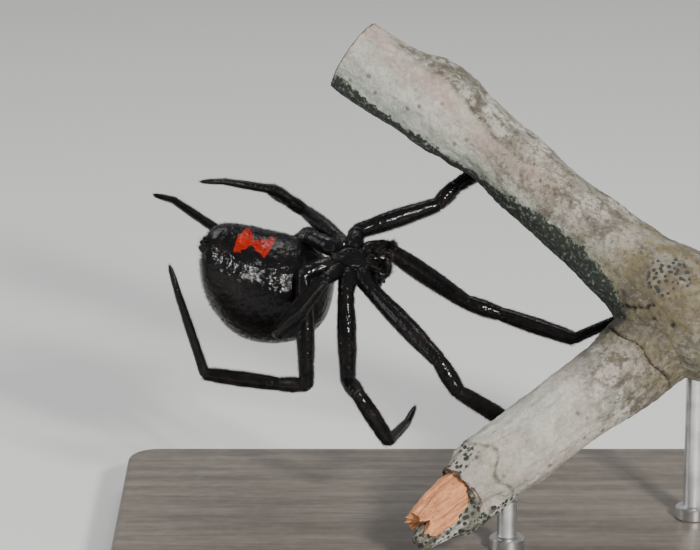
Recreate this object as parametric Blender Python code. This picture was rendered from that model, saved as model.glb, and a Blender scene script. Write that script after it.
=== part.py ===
"""Female black widow spider hanging belly up at a forked twig, life size, on a display stand.

Metres, +Z up. The origin is the middle of the base's underside. The spider is modelled in its own
frame, in millimetres: +X to the head, +Y to its left side, +Z to its back, with the middle of the
front body (the cephalothorax) at zero. One empty then turns it belly up and sets it in its place.
The twig and the stand are laid out in the frame of the model.
"""

import math

import bmesh
import bpy
from mathutils import Matrix, Vector

MM = 0.001
GAP = 0.3

# Place and turn of the spider: it hangs belly up, its belly turned a little to the viewer
SPIDER_AT = (-4.98, 2.22, 17.93)
SPIDER_TURN = (-143, 11, -3)

# Front body: (x, half width, top, bottom) of each section, from the waist to the face
FRONT_BODY = (
    (-1.70, 0.35, 0.20, -0.20),
    (-1.40, 0.98, 0.52, -0.58),
    (-0.80, 1.36, 0.74, -0.76),
    (-0.10, 1.48, 0.84, -0.80),
    (0.55, 1.34, 0.90, -0.80),
    (1.15, 1.12, 1.02, -0.70),
    (1.62, 1.00, 1.05, -0.50),
    (2.00, 0.78, 0.74, -0.14),
)
STERNUM = ((-0.24, 0.0, -0.74), (0.98, 0.76, 0.16))
LABIUM = ((0.82, 0.0, -0.76), (0.22, 0.28, 0.14))
ENDITE = ((1.04, 0.34, -0.70), (0.42, 0.22, 0.19))
EYE_RADIUS = 0.12
EYES = ((1.99, 0.17, 0.46), (1.97, 0.53, 0.38), (1.86, 0.19, 0.84), (1.80, 0.60, 0.70))

# Mouthparts: joints of the left one, with the radius at each
CHELICERA = (
    ((1.92, 0.38, -0.60), 0.22),
    ((1.98, 0.40, -0.82), 0.25),
    ((2.00, 0.39, -1.14), 0.24),
    ((1.98, 0.34, -1.42), 0.18),
    ((1.86, 0.24, -1.60), 0.08),
    ((1.70, 0.19, -1.64), 0.04),
)
PEDIPALP = (
    ((1.42, 1.08, -1.16), 0.14),
    ((1.60, 1.16, -1.16), 0.21),
    ((1.86, 1.16, -1.10), 0.20),
    ((2.04, 1.06, -1.20), 0.20),
    ((2.08, 0.96, -1.48), 0.18),
    ((2.02, 0.84, -1.80), 0.16),
    ((1.92, 0.74, -2.06), 0.07),
)

# Abdomen, in its own frame, which is rolled a little to the spider's right
ABDOMEN_AT = (-5.28, 0.36, 3.30)
ABDOMEN_ROLL = 13
ABDOMEN_LENGTH = 8.3
ABDOMEN_HEIGHT = 7.0
ABDOMEN_WIDTH = 6.85
ABDOMEN_FULLNESS = 0.39
BACK_ARCH = 0.3
WAIST_DROP = 0.4
TAIL_DROP = 3.5
SPINNERET_AT = (-3.90, 0.0, -4.0)

# Legs: lengths of coxa with trochanter, femur, patella, tibia, metatarsus and tarsus of each pair
SEGMENT_LENGTHS = {
    1: (1.7, 6.8, 2.2, 5.2, 5.6, 2.1),
    2: (1.5, 5.5, 1.6, 3.6, 4.4, 1.6),
    3: (1.5, 4.6, 1.3, 2.5, 3.2, 1.4),
    4: (1.95, 6.9, 1.8, 4.8, 5.4, 1.9),
}
LEG_STOUTNESS = {1: 1.14, 2: 1.10, 3: 0.95, 4: 1.03}
LEG_ROOTS = {
    1: (0.42, 0.85, -0.40),
    2: (-0.30, 0.98, -0.42),
    3: (-0.95, 0.88, -0.42),
    4: (-1.45, 0.58, -0.42),
}
# Pose: yaw out from straight ahead and pitch towards the back of each segment, in degrees
LEG_POSES = {
    ("left", 1): ((50, 1), (46, -8), (40, 27), (-4, 34), (-51, -7), (-62, -8)),
    ("left", 2): ((87, 7), (74, 37), (60, -26), (34, 34), (-74, 35), (-78, 12)),
    ("left", 3): ((120, -11), (119, 14), (79, -54), (-13, -62), (30, -74), (54, -69)),
    ("left", 4): ((143, 3), (74, 37), (-171, 27), (177, 2), (-134, -48), (-128, -42)),
    ("right", 1): ((42, 17), (-2, 32), (-6, 5), (-16, -9), (29, -20), (27, -37)),
    ("right", 2): ((91, 8), (30, -10), (55, -21), (43, -15), (-29, -1), (-28, 12)),
    ("right", 3): ((107, 31), (128, 26), (179, -32), (-141, -52), (-165, -15), (-164, -1)),
    ("right", 4): ((149, 16), (96, 51), (-167, 57), (-170, -17), (-155, -50), (-143, -40)),
}
# Radius along each segment: (share of its length, radius)
SEGMENT_RADII = (
    ((0.0, 0.44), (0.25, 0.52), (0.55, 0.50), (0.7, 0.44), (0.84, 0.46), (1.0, 0.39)),
    ((0.0, 0.33), (0.12, 0.42), (0.35, 0.50), (0.6, 0.50), (0.85, 0.43), (1.0, 0.39)),
    ((0.0, 0.38), (0.5, 0.43), (1.0, 0.36)),
    ((0.0, 0.35), (0.2, 0.39), (0.5, 0.42), (0.8, 0.39), (1.0, 0.33)),
    ((0.0, 0.29), (0.15, 0.27), (0.5, 0.25), (1.0, 0.205)),
    ((0.0, 0.20), (0.5, 0.18), (0.85, 0.14), (1.0, 0.08)),
)
LEG_SIDES = 10

# Twig: (x, y, z) and radius along the branch with its trunk, and along the lower fork
BRANCH = (
    ((-5.1, 6.7, 30.5), 2.40),
    ((-2.1, 5.6, 28.6), 2.45),
    ((-0.2, 5.0, 27.75), 2.75),
    ((1.0, 4.6, 27.0), 2.70),
    ((2.1, 4.25, 26.2), 2.38),
    ((3.6, 3.7, 25.2), 2.28),
    ((5.9, 2.7, 23.3), 2.33),
    ((8.0, 1.8, 21.6), 2.42),
    ((10.2, 0.8, 19.9), 2.52),
    ((12.1, -0.1, 18.4), 2.75),
    ((14.4, -1.0, 16.7), 3.50),
    ((16.4, -1.4, 15.5), 3.80),
    ((18.1, -1.4, 15.1), 3.70),
)
FORK = (
    ((14.6, -1.6, 14.8), 2.90),
    ((12.7, -2.2, 13.4), 2.72),
    ((10.9, -3.3, 12.1), 2.58),
    ((8.9, -4.4, 11.0), 2.35),
    ((5.7, -6.4, 9.2), 2.33),
    ((2.9, -8.0, 7.6), 2.25),
    ((1.3, -9.0, 6.6), 2.00),
)
TORN_WOOD = (
    ((1.0, -9.2, 6.4), 1.50),
    ((0.1, -9.9, 5.9), 1.35),
    ((-0.9, -10.5, 5.1), 1.15),
    ((-1.3, -10.8, 4.8), 0.80),
)
TWIG_SIDES = 20

# Stand: base block and two rods, each under a piece of the twig: (x, y) and height of its top
BASE_SIZE = (40.0, 26.0, 2.5)
BASE_CORNER = 2.0
BASE_EDGE = 0.4
ROD_RADIUS = 0.6
ROD_PLACES = {"stand_rod_trunk": (16.2, -1.4, 11.3), "stand_rod_fork": (4.3, -7.2, 5.2)}
ROD_SIDES = 20

BLACK_CUTICLE = ("black cuticle", (0.012, 0.012, 0.014), 0.18, 0.0)
BARK = ("grey bark", (0.52, 0.48, 0.43), 0.85, 0.0)
HEARTWOOD = ("torn wood", (0.62, 0.30, 0.15), 0.8, 0.0)
MAPLE = ("maple", (0.66, 0.50, 0.33), 0.5, 0.0)
STEEL = ("steel", (0.62, 0.62, 0.62), 0.3, 1.0)


def material(finish):
    """Principled material of one finish: name, colour, roughness, metallic."""
    name, colour, roughness, metallic = finish
    found = bpy.data.materials.get(name)
    if found:
        return found
    made = bpy.data.materials.new(name)
    made.use_nodes = True
    shader = made.node_tree.nodes["Principled BSDF"]
    shader.inputs["Base Color"].default_value = (*colour, 1.0)
    shader.inputs["Roughness"].default_value = roughness
    shader.inputs["Metallic"].default_value = metallic
    return made


def node(name, data, finish, parent=None):
    """One named piece of the model, brought from millimetres to metres, smooth where it is round."""
    data.transform(Matrix.Scale(MM, 4))
    data.materials.clear()
    data.materials.append(material(finish))
    data.shade_smooth()
    data.set_sharp_from_angle(angle=math.radians(40))
    piece = bpy.data.objects.new(name, data)
    bpy.context.collection.objects.link(piece)
    piece.parent = parent
    return piece


def skin(rings):
    """Closed mesh over rings of points in millimetres, each ring with as many points."""
    mesh = bmesh.new()
    loops = [[mesh.verts.new(Vector(point)) for point in ring] for ring in rings]
    for low, high in zip(loops, loops[1:]):
        for i in range(len(low)):
            j = (i + 1) % len(low)
            mesh.faces.new((low[i], low[j], high[j], high[i]))
    mesh.faces.new(list(reversed(loops[0])))
    mesh.faces.new(loops[-1])
    bmesh.ops.recalc_face_normals(mesh, faces=mesh.faces)
    data = bpy.data.meshes.new("skin")
    mesh.to_mesh(data)
    mesh.free()
    return data


def round_rings(points, tangents, radii, sides):
    """Circles square to the tangents of a path, with as little twist as the path allows."""
    rings = []
    across = Vector(tangents[0]).orthogonal().normalized()
    for point, tangent, radius in zip(points, tangents, radii):
        across = (across - tangent * across.dot(tangent)).normalized()
        up = tangent.cross(across)
        turns = [2 * math.pi * i / sides for i in range(sides)]
        rings.append([point + (across * math.cos(a) + up * math.sin(a)) * radius for a in turns])
    return rings


def tube(route, sides):
    """Round tube along a route of (point, radius), its ends cut square."""
    points = [Vector(point) for point, _ in route]
    steps = [(b - a).normalized() for a, b in zip(points, points[1:])]
    tangents = [steps[0]] + [(a + b).normalized() for a, b in zip(steps, steps[1:])] + [steps[-1]]
    return skin(round_rings(points, tangents, [radius for _, radius in route], sides))


def mirrored(route, side):
    """The route of the left side, or its mirror image for the right side."""
    sign = 1 if side == "left" else -1
    return [((x, sign * y, z), radius) for (x, y, z), radius in route]


def ellipsoid(centre, radii, sides=16, rows=8):
    """Closed ellipsoid, in millimetres."""
    mesh = bmesh.new()
    bmesh.ops.create_uvsphere(mesh, u_segments=sides, v_segments=rows, radius=1.0)
    bmesh.ops.transform(mesh, matrix=Matrix.Diagonal((*radii, 1.0)), verts=mesh.verts)
    bmesh.ops.translate(mesh, vec=Vector(centre), verts=mesh.verts)
    data = bpy.data.meshes.new("ellipsoid")
    mesh.to_mesh(data)
    mesh.free()
    return data


def fused(meshes, operation="UNION"):
    """Join closed meshes into one body, or cut the later ones from the first."""
    first, *others = [bpy.data.objects.new("piece", data) for data in meshes]
    group = bpy.data.collections.new("pieces")
    bpy.context.scene.collection.children.link(group)
    bpy.context.collection.objects.link(first)
    for other in others:
        group.objects.link(other)
    boolean = first.modifiers.new("join", "BOOLEAN")
    boolean.operation = operation
    boolean.operand_type = "COLLECTION"
    boolean.collection = group
    boolean.solver = "EXACT"
    evaluated = first.evaluated_get(bpy.context.evaluated_depsgraph_get())
    result = bpy.data.meshes.new_from_object(evaluated)
    for piece in (first, *others):
        bpy.data.objects.remove(piece)
    bpy.data.collections.remove(group)
    return largest_surface(result)


def largest_surface(data):
    """Keep only the largest closed surface of a mesh, with its doubled points merged."""
    mesh = bmesh.new()
    mesh.from_mesh(data)
    bmesh.ops.remove_doubles(mesh, verts=mesh.verts, dist=0.0005)
    bmesh.ops.dissolve_degenerate(mesh, edges=mesh.edges, dist=0.0005)
    left = set(mesh.verts)
    shells = []
    while left:
        shell, front = set(), [left.pop()]
        while front:
            vert = front.pop()
            shell.add(vert)
            near = {edge.other_vert(vert) for edge in vert.link_edges} & left
            left -= near
            front.extend(near)
        shells.append(shell)
    shells.sort(key=len)
    for shell in shells[:-1]:
        bmesh.ops.delete(mesh, geom=list(shell), context="VERTS")
    mesh.to_mesh(data)
    mesh.free()
    return data


def direction(side, yaw, pitch):
    """Unit vector of a leg segment in the spider's own frame."""
    sign = 1 if side == "left" else -1
    yaw, pitch = math.radians(sign * yaw), math.radians(pitch)
    level = math.cos(pitch)
    return Vector((level * math.cos(yaw), level * math.sin(yaw), math.sin(pitch)))


def leg_run(side, pair, first, last):
    """Rings of a leg's segments first to last, cut at its joints half a gap from each joint."""
    x, y, z = LEG_ROOTS[pair]
    joint = Vector((x, y if side == "left" else -y, z))
    ways = [direction(side, yaw, pitch) for yaw, pitch in LEG_POSES[side, pair]]
    points, tangents, radii = [], [], []
    for index, (way, length) in enumerate(zip(ways, SEGMENT_LENGTHS[pair])):
        if first <= index <= last:
            before = ways[index - 1] if index else way
            after = ways[index + 1] if index < len(ways) - 1 else way
            stations = SEGMENT_RADII[index]
            for share, radius in stations if index == last else stations[:-1]:
                tangent = way
                if share == 0.0:
                    tangent = (before + way).normalized()
                if share == 1.0:
                    tangent = (after + way).normalized()
                setback = GAP / 2 / max(tangent.dot(way), 0.5)
                along = length * share
                if share == 0.0 and index == first and index > 0:
                    along = setback
                if share == 1.0 and index < len(ways) - 1:
                    along = length - setback
                points.append(joint + way * along)
                tangents.append(tangent)
                radii.append(radius * LEG_STOUTNESS[pair])
        joint = joint + way * length
    return skin(round_rings(points, tangents, radii, LEG_SIDES))


def front_body():
    """Carapace, sternum, mouth plates and eyes, with the coxae and trochanters of all legs."""
    sides = 24
    rings = []
    for x, half_width, top, bottom in FRONT_BODY:
        middle = (top + bottom) / 2
        ring = []
        for i in range(sides):
            turn = 2 * math.pi * i / sides
            rise = (top - middle) if math.sin(turn) > 0 else (middle - bottom)
            ring.append((x, half_width * math.cos(turn), middle + rise * math.sin(turn)))
        rings.append(ring)
    pieces = [skin(rings), ellipsoid(*STERNUM), ellipsoid(*LABIUM)]
    for sign in (1, -1):
        (x, y, z), radii = ENDITE
        pieces.append(ellipsoid((x, sign * y, z), radii))
        for x, y, z in EYES:
            pieces.append(ellipsoid((x, sign * y, z), [EYE_RADIUS] * 3, sides=8, rows=6))
    for side, pair in LEG_POSES:
        pieces.append(leg_run(side, pair, 0, 0))
    return fused(pieces)


def abdomen_section(x):
    """Middle height and radius share of the abdomen's section at x, in its own frame."""
    reach = abs(x) / (ABDOMEN_LENGTH / 2)
    share = max(1 - reach**2, 0.0) ** ABDOMEN_FULLNESS
    drop = TAIL_DROP * reach**1.9 if x < 0 else WAIST_DROP * reach**2
    return BACK_ARCH - drop, share


def abdomen():
    """Round abdomen that tapers down to its spinnerets, with the waist that carries it."""
    sides, rows = 28, 16
    half = ABDOMEN_LENGTH / 2
    rings = []
    for row in range(rows + 1):
        x = half * math.cos(math.pi * (0.03 + 0.94 * row / rows))
        middle, share = abdomen_section(x)
        ring = []
        for i in range(sides):
            turn = 2 * math.pi * i / sides
            y = ABDOMEN_WIDTH / 2 * share * math.cos(turn)
            ring.append((x, y, middle + ABDOMEN_HEIGHT / 2 * share * math.sin(turn)))
        rings.append(ring)
    x, y, z = SPINNERET_AT
    pieces = [skin(rings)]
    pieces.append(tube((((2.9, 0.0, -2.0), 0.5), ((3.28, -0.05, -3.0), 0.33)), 12))
    for sign in (1, -1):
        front = (((x + 0.9, sign * 0.2, z + 0.1), 0.3), ((x, sign * 0.3, z - 0.2), 0.26))
        pieces.append(tube((*front, ((x - 0.42, sign * 0.16, z - 0.34), 0.12)), 10))
        rear = (((x + 0.6, sign * 0.2, z + 0.7), 0.28), ((x - 0.2, sign * 0.24, z + 0.2), 0.22))
        pieces.append(tube((*rear, ((x - 0.55, sign * 0.14, z + 0.02), 0.1)), 10))
    pieces.append(tube((((x + 0.5, 0, z + 0.9), 0.3), ((x - 0.2, 0, z + 0.6), 0.14)), 10))
    return fused(pieces)


def base_block():
    """Flat base with rounded corners and a small bevel round its top."""
    length, width, height = BASE_SIZE
    corners = []
    for sx, sy, start in ((1, 1, 0), (-1, 1, 90), (-1, -1, 180), (1, -1, 270)):
        for step in range(5):
            turn = math.radians(start + 22.5 * step)
            corners.append((sx * (length / 2 - BASE_CORNER), sy * (width / 2 - BASE_CORNER), turn))
    rings = []
    for z, inset in ((0.0, 0.0), (height - BASE_EDGE, 0.0), (height, BASE_EDGE)):
        reach = BASE_CORNER - inset
        ring = [(x + reach * math.cos(a), y + reach * math.sin(a), z) for x, y, a in corners]
        rings.append(ring)
    return skin(rings)


def rod(place):
    """Upright rod from just over the base to just under the twig, with a wider foot."""
    x, y, top = place
    foot = BASE_SIZE[2] + GAP
    route = (
        ((x, y, foot), ROD_RADIUS * 1.8),
        ((x, y, foot + 0.5), ROD_RADIUS * 1.8),
        ((x, y, foot + 0.7), ROD_RADIUS),
        ((x, y, top), ROD_RADIUS),
    )
    return tube(route, ROD_SIDES)


def build():
    """All nodes of the model."""
    for old in list(bpy.data.objects):
        bpy.data.objects.remove(old)

    spider = bpy.data.objects.new("spider", None)
    bpy.context.collection.objects.link(spider)
    spider.location = Vector(SPIDER_AT) * MM
    spider.rotation_euler = [math.radians(a) for a in SPIDER_TURN]
    node("cephalothorax", front_body(), BLACK_CUTICLE, spider)
    body = node("abdomen", abdomen(), BLACK_CUTICLE, spider)
    body.location = Vector(ABDOMEN_AT) * MM
    body.rotation_euler = (math.radians(ABDOMEN_ROLL), 0, 0)
    for side in ("left", "right"):
        node("chelicera_" + side, tube(mirrored(CHELICERA, side), 12), BLACK_CUTICLE, spider)
        node("pedipalp_" + side, tube(mirrored(PEDIPALP, side), 10), BLACK_CUTICLE, spider)
    for side, pair in LEG_POSES:
        name = f"leg_{pair}_{side}_"
        node(name + "femur", leg_run(side, pair, 1, 1), BLACK_CUTICLE, spider)
        node(name + "tibia", leg_run(side, pair, 2, 3), BLACK_CUTICLE, spider)
        node(name + "tarsus", leg_run(side, pair, 4, 5), BLACK_CUTICLE, spider)

    node("perch_branch", tube(BRANCH, TWIG_SIDES), BARK)
    wider = [(point, radius + GAP) for point, radius in BRANCH]
    node("perch_fork", fused([tube(FORK, TWIG_SIDES), tube(wider, TWIG_SIDES)], "DIFFERENCE"), BARK)
    node("perch_torn_wood", tube(TORN_WOOD, 12), HEARTWOOD)

    node("stand_base", base_block(), MAPLE)
    for name, place in ROD_PLACES.items():
        node(name, rod(place), STEEL)


build()
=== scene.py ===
"""Female black widow spider hanging belly up beside a forked twig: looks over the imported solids.

Metres, +Z up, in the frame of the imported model. The sections follow the object as it is put
together: view, cuticle of the spider, its eyes, claws and bristles, the twig, and the stand.
"""

import math

import bmesh
import bpy
import numpy as np
from mathutils import Euler, Matrix, Vector, noise


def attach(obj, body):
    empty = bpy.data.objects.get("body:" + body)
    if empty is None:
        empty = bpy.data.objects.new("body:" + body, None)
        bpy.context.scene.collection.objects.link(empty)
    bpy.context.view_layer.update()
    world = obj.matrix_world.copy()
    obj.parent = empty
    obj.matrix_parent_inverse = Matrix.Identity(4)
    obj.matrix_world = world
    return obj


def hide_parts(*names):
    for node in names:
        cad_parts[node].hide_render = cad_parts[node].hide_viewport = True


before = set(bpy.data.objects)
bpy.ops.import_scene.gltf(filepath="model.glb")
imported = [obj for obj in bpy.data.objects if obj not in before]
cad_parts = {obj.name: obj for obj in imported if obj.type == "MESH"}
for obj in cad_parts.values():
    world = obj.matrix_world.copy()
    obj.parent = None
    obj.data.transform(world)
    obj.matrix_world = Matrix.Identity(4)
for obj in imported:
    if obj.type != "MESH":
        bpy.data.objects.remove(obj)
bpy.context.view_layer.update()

# View: the photograph looks level with the twig from 15 degrees up, from 22 cm away, with the
# spider in the middle of a picture about 44 mm wide.
MM = 0.001
VIEW_MIDDLE = Vector((-5.3, 1.45, 17.5)) * MM
VIEW_RISE = math.radians(15)
VIEW_DISTANCE = 0.220
VIEW_WIDTH = 0.04375


def linked(name, data):
    made = bpy.data.objects.new(name, data)
    bpy.context.scene.collection.objects.link(made)
    return made


camera = linked("camera", bpy.data.cameras.new("camera"))
camera.data.sensor_width = 36.0
camera.data.lens = 36.0 * VIEW_DISTANCE / VIEW_WIDTH
camera.data.clip_start = 0.005
camera.data.clip_end = 5.0
away = Vector((0, -math.cos(VIEW_RISE), math.sin(VIEW_RISE)))
camera.location = VIEW_MIDDLE + away * VIEW_DISTANCE
camera.rotation_euler = (math.pi / 2 - VIEW_RISE, 0, 0)
bpy.context.scene.camera = camera


# Studio: a plain pale floor far wider than the picture, a soft pale room, one large soft light
# from the upper right near the camera, and weaker ones that draw the edges of the black body.
def plain_material(name, colour, roughness):
    made = bpy.data.materials.new(name)
    made.use_nodes = True
    shader = made.node_tree.nodes["Principled BSDF"]
    shader.inputs["Base Color"].default_value = (*colour, 1.0)
    shader.inputs["Roughness"].default_value = roughness
    return made


floor_mesh = bpy.data.meshes.new("floor")
REACH = 0.6
corners = [(-REACH, -REACH, 0), (REACH, -REACH, 0), (REACH, REACH, 0), (-REACH, REACH, 0)]
floor_mesh.from_pydata(corners, [], [(0, 1, 2, 3)])
floor = linked("floor", floor_mesh)
floor.location.z = -0.00005
floor_mesh.materials.append(plain_material("pale floor", (0.62, 0.62, 0.60), 0.7))

world = bpy.data.worlds.new("studio")
world.use_nodes = True
world.node_tree.nodes["Background"].inputs["Color"].default_value = (0.80, 0.83, 0.85, 1.0)
world.node_tree.nodes["Background"].inputs["Strength"].default_value = 0.45
bpy.context.scene.world = world


def soft_light(name, place, aim, size, power, tint):
    lamp = bpy.data.lights.new(name, "AREA")
    lamp.shape = "RECTANGLE"
    lamp.size, lamp.size_y = size
    lamp.energy = power
    lamp.color = tint
    made = linked(name, lamp)
    made.location = place
    made.rotation_euler = (Vector(aim) - Vector(place)).to_track_quat("-Z", "Y").to_euler()


AIM = (-0.004, 0.001, 0.017)
soft_light("key", (0.078, -0.168, 0.108), AIM, (0.024, 0.024), 0.66, (1.0, 0.98, 0.95))
soft_light("left edge", (-0.20, -0.02, 0.10), AIM, (0.10, 0.16), 0.22, (0.92, 0.96, 1.0))
soft_light("top", (0.02, 0.10, 0.24), AIM, (0.16, 0.12), 0.36, (1.0, 0.99, 0.97))

# Legs: black, glossy tubes of hard cuticle in seven pieces, each narrowed at its ends, with a soft
# brown skin at every joint. They are lofted along the pose, one closed shell a piece.
SPIDER_AT = Vector((-4.98, 2.22, 17.93))
SPIDER_TURN = Euler([math.radians(a) for a in (-143, 11, -3)])
in_metres = Matrix.Scale(MM, 4)
to_model = in_metres @ Matrix.Translation(SPIDER_AT) @ SPIDER_TURN.to_matrix().to_4x4()
SEGMENT_LENGTHS = {
    1: (1.7, 6.8, 2.2, 5.2, 5.6, 2.1),
    2: (1.5, 5.5, 1.6, 3.6, 4.4, 1.6),
    3: (1.5, 4.6, 1.3, 2.5, 3.2, 1.4),
    4: (1.95, 6.9, 1.8, 4.8, 5.4, 1.9),
}
LEG_STOUTNESS = {1: 1.20, 2: 1.16, 3: 1.00, 4: 1.10}
LEG_ROOTS = {
    1: (0.42, 0.85, -0.40),
    2: (-0.30, 0.98, -0.42),
    3: (-0.95, 0.88, -0.42),
    4: (-1.45, 0.58, -0.42),
}
LEG_POSES = {
    ("left", 1): ((50, 1), (46, -8), (40, 27), (-4, 34), (-51, -7), (-40, -24)),
    ("left", 2): ((87, 7), (74, 37), (60, -26), (34, 34), (-74, 35), (-78, 12)),
    ("left", 3): ((120, -11), (119, 14), (79, -54), (-13, -62), (30, -74), (54, -69)),
    ("left", 4): ((143, 3), (74, 37), (-171, 27), (177, 2), (-134, -48), (-128, -42)),
    ("right", 1): ((42, 17), (-2, 32), (-6, 5), (-16, -9), (29, -20), (-30, -52)),
    ("right", 2): ((91, 8), (30, -10), (55, -21), (43, -15), (-29, -1), (-38, -3)),
    ("right", 3): ((107, 31), (128, 26), (179, -32), (-141, -52), (-165, -15), (-164, -1)),
    ("right", 4): ((149, 16), (96, 51), (-167, 57), (-170, -17), (-155, -50), (-143, -40)),
}
SEGMENT_RADII = {
    "coxa": ((0.0, 0.46), (0.25, 0.52), (0.6, 0.50), (0.74, 0.45), (0.86, 0.47), (1.0, 0.42)),
    "femur": ((0.0, 0.42), (0.12, 0.44), (0.35, 0.50), (0.6, 0.50), (0.85, 0.43), (1.0, 0.39)),
    "patella": ((0.0, 0.38), (0.5, 0.43), (1.0, 0.38)),
    "tibia": ((0.0, 0.35), (0.2, 0.39), (0.5, 0.42), (0.8, 0.39), (1.0, 0.34)),
    "metatarsus": ((0.0, 0.29), (0.15, 0.27), (0.5, 0.25), (1.0, 0.205)),
    "tarsus": ((0.0, 0.20), (0.5, 0.18), (0.85, 0.14), (1.0, 0.09)),
}
SEGMENT_HAIR = {
    "coxa": (0.6, 0.65),
    "femur": (0.75, 0.9),
    "patella": (0.8, 1.0),
    "tibia": (0.9, 1.05),
    "metatarsus": (1.0, 0.8),
    "tarsus": (1.0, 0.6),
}
LEG_SIDES = 20
TUBE_ROWS = 26
UNEVEN = 0.05
END_ROUND = 0.6
OVERLAP = 0.5
KNUCKLE = 0.86
UNWRAP_STRIP = 0.058
UNMARKED = (0.0, 0.0, 99.0)
shells = []
leg_tips = []


def middle_of(ring):
    total = Vector((0, 0, 0))
    for point in ring:
        total += Vector(point) / len(ring)
    return total


def circle(middle, across, up, radius, sides):
    turns = [2 * math.pi * i / sides for i in range(sides)]
    return [middle + (across * math.cos(a) + up * math.sin(a)) * radius for a in turns]


def keep(data, name, kind, values):
    """Stores values on the points of a mesh."""
    store = data.attributes.new(name, kind, "POINT")
    store.data.foreach_set("vector" if kind == "FLOAT_VECTOR" else "value", values)


def shell(rings, strip, lie, soft=0.0, hair=0.6, long=1.0, turn=to_model, marked=False):
    """One closed piece over rings, with what its finish and its bristles need on its points."""
    count, rows = len(rings[0]), len(rings)
    points = [tuple(point) for ring in rings for point in ring]
    points += [tuple(middle_of(ring)) for ring in (rings[0], rings[-1])]
    start, end = len(points) - 2, len(points) - 1
    top = (rows - 1) * count
    faces, unwrap = [], []
    u0, v0, u1, v1 = strip

    def spot(row, column):
        share = (row + 0.5) / rows
        return (u0 + (u1 - u0) * share, v0 + (v1 - v0) * column / count)

    for low in range(0, top, count):
        row, high = low // count, low + count
        for i in range(count):
            j = (i + 1) % count
            faces.append((low + i, low + j, high + j, high + i))
            unwrap += [spot(row, i), spot(row, i + 1), spot(row + 1, i + 1), spot(row + 1, i)]
    for i in range(count):
        j = (i + 1) % count
        v = (spot(0, i)[1] + spot(0, i + 1)[1]) / 2
        faces += [(start, j, i), (end, top + i, top + j)]
        unwrap += [(u0, v), spot(0, i + 1), spot(0, i)]
        unwrap += [(u1, v), spot(rows - 1, i), spot(rows - 1, i + 1)]
    data = bpy.data.meshes.new("shell")
    data.from_pydata([turn @ Vector(point) for point in points], [], faces)
    layer = data.uv_layers.new(name="unwrap")
    layer.data.foreach_set("uv", np.array(unwrap, dtype=np.float32).ravel())
    lie = (turn.to_3x3() @ Vector(lie)).normalized()
    own = points if marked else [UNMARKED] * len(points)
    keep(data, "lie", "FLOAT_VECTOR", list(lie) * len(points))
    keep(data, "soft", "FLOAT", [soft] * len(points))
    keep(data, "hair", "FLOAT", [hair] * len(points))
    keep(data, "long", "FLOAT", [long] * len(points))
    keep(data, "own", "FLOAT_VECTOR", [c for place in own for c in place])
    mesh = bmesh.new()
    mesh.from_mesh(data)
    bmesh.ops.recalc_face_normals(mesh, faces=mesh.faces)
    mesh.to_mesh(data)
    mesh.free()
    return bpy.data.objects.new("shell", data)


def add_shell(rings, strip, lie, hair, long=1.0, soft=0.0):
    shells.append(shell(rings, strip, lie, soft, hair, long))


def direction(yaw, pitch):
    level = math.cos(pitch)
    return Vector((level * math.cos(yaw), level * math.sin(yaw), math.sin(pitch)))


def between(stations, share):
    """Smooth value at a share of a list of (share, value)."""
    for (a, low), (b, high) in zip(stations, stations[1:]):
        if share <= b:
            part = (share - a) / (b - a)
            part = part * part * (3 - 2 * part)
            return low + (high - low) * part
    return stations[-1][1]


def rings_along(start, way, length, radius_at, sides):
    """Rings of a tube with rounded ends, closer together where it closes, slightly uneven."""
    across = way.orthogonal().normalized()
    up = way.cross(across)
    rings = []
    for row in range(TUBE_ROWS + 1):
        along = length * (1 - math.cos(math.pi * (0.02 + 0.96 * row / TUBE_ROWS))) / 2
        middle = start + way * along
        ring = circle(middle, across, up, radius_at(along), sides)
        rings.append([p + (p - middle) * noise.noise(p * 2.1) * UNEVEN for p in ring])
    return rings


for number, ((side, pair), pose) in enumerate(LEG_POSES.items()):
    x, y, z = LEG_ROOTS[pair]
    sign = 1 if side == "left" else -1
    joint = Vector((x, sign * y, z))
    whole = sum(SEGMENT_LENGTHS[pair])
    reached = 0.0
    stout = LEG_STOUTNESS[pair]
    strip_low = 0.52 + UNWRAP_STRIP * number
    for name, (yaw, pitch), length in zip(SEGMENT_RADII, pose, SEGMENT_LENGTHS[pair]):
        way = direction(math.radians(sign * yaw), math.radians(pitch))
        stations = SEGMENT_RADII[name]
        over = OVERLAP * stations[0][1] * stout
        past = OVERLAP * stations[-1][1] * stout

        def radius_at(along):
            radius = between(stations, min(max((along - over) / length, 0.0), 1.0)) * stout
            reach = length + over + past
            cap = END_ROUND * radius
            near = min(along, reach - along)
            if near < cap:
                radius *= math.sqrt(max(1 - (1 - near / cap) ** 2, 0.0009))
            return radius

        rings = rings_along(joint - way * over, way, length + over + past, radius_at, LEG_SIDES)
        u0 = 0.02 + 0.94 * reached / whole
        u1 = 0.02 + 0.94 * (reached + length) / whole
        strip = (u0, strip_low, u1, strip_low + UNWRAP_STRIP * 0.92)
        hair, long = SEGMENT_HAIR[name]
        add_shell(rings, strip, way, hair, long)
        if name != "coxa":
            knuckle = stations[0][1] * stout * KNUCKLE

            def ball(along, r=knuckle):
                return math.sqrt(max(r * r - (along - r) ** 2, 0.0004 * r * r))

            rings = rings_along(joint - way * knuckle, way, 2 * knuckle, ball, 12)
            strip = (u0 - 0.004, strip_low, u0 + 0.004, strip_low + 0.02)
            add_shell(rings, strip, way, hair=0.0, soft=1.0)
        joint = joint + way * length
        reached += length
    leg_tips.append((joint, way))

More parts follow.
